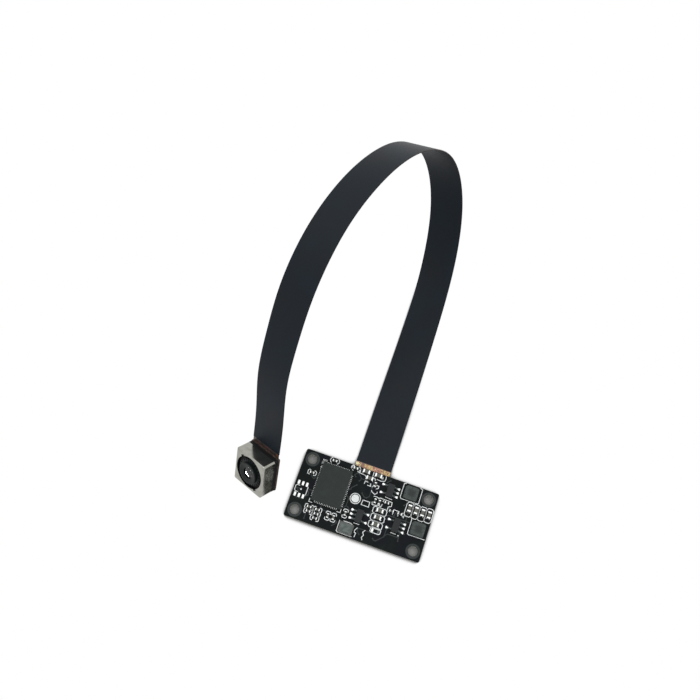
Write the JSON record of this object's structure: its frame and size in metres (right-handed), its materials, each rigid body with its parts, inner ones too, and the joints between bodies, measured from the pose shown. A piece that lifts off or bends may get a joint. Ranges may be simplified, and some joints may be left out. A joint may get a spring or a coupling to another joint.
{
  "type": "camera module",
  "caption": "Autofocus camera head on a long looped flat ribbon, wired to a small rectangular circuit board with corner fixing holes.",
  "frame": {"origin": "centre of the circuit board's underside", "axes": "+X along the board's long side, +Y from the board's front edge to the edge that the ribbon leaves, +Z out of the side that carries the parts"},
  "size_m": [0.0463, 0.0865, 0.0406],
  "materials": {
    "solder_mask": "black-green solder mask over woven glass laminate, satin gloss, pale sawn edges",
    "solder": "tinned copper, bright satin",
    "moulded_epoxy": "moulded epoxy, fine matt grain",
    "ferrite": "ferrite under grey resin, satin",
    "chip_ceramic": "fired ceramic, olive grey, satin",
    "resistor_glaze": "dark overglaze, satin",
    "nickel_lid": "nickel-plated lid, satin",
    "polyimide": "amber polyimide, glossy, copper showing through",
    "shield_film": "black electromagnetic shield film, soft sheen",
    "stainless": "rolled stainless steel, satin",
    "sensor_laminate": "black solder mask over laminate, satin",
    "silicon": "polished silicon with a faint violet cast",
    "black_moulding": "moulded black liquid-crystal polymer, matt",
    "barrel_moulding": "moulded black barrel, matt with satin rim",
    "filter_glass": "coated infrared filter, faint cyan",
    "gold_plate": "gold-plated strip, satin",
    "spring_bronze": "etched beryllium copper, satin",
    "magnet": "nickel-plated magnet, satin",
    "nickel_silver": "drawn nickel silver, satin with bright edges",
    "coil_wire": "enamelled copper wire, glossy",
    "lens_resin": "coated optical resin, clear"
  },
  "bodies": {
    "root": {"circuit_board": "solder_mask", "solder_pads": "solder", "lead_pads": "solder", "image_processor": "moulded_epoxy", "processor_leads": "solder", "upper_regulator": "moulded_epoxy", "middle_regulator": "moulded_epoxy", "lower_regulator": "moulded_epoxy", "regulator_leads": "solder", "upper_inductor": "ferrite", "lower_inductor": "ferrite", "inductor_terminals": "solder", "crystal_base": "chip_ceramic", "crystal_can": "nickel_lid", "capacitor_bodies": "chip_ceramic", "capacitor_ends": "solder", "small_capacitor_bodies": "chip_ceramic", "small_capacitor_ends": "solder", "resistor_bodies": "resistor_glaze", "resistor_ends": "solder", "ribbon_core": "polyimide", "outer_shield_film": "shield_film", "inner_shield_film": "shield_film", "stiffener_plate": "stainless", "sensor_board": "sensor_laminate", "image_sensor": "silicon", "sensor_holder": "black_moulding", "infrared_filter": "filter_glass", "actuator_base": "black_moulding", "actuator_terminals": "gold_plate", "lower_spring": "spring_bronze", "focus_magnets": "magnet", "upper_spring": "spring_bronze", "spacer_frame": "black_moulding", "shield_can": "nickel_silver"},
    "lens": {"lens_carrier": "black_moulding", "focus_coil": "coil_wire", "lens_barrel": "barrel_moulding", "front_lens": "lens_resin", "middle_lens": "lens_resin", "rear_lens": "lens_resin", "lens_spacers": "black_moulding", "lens_retainer": "black_moulding"}
  },
  "joints": [
    {"name": "lens_focus", "type": "slide", "parent": "root", "child": "lens", "axis": [-0.4942, -0.6877, 0.5318], "range_m": [0, 0.00025], "stiffness_N_per_m": 15, "springref_m": -0.0002, "deforming": ["lower_spring", "upper_spring"]}
  ]
}
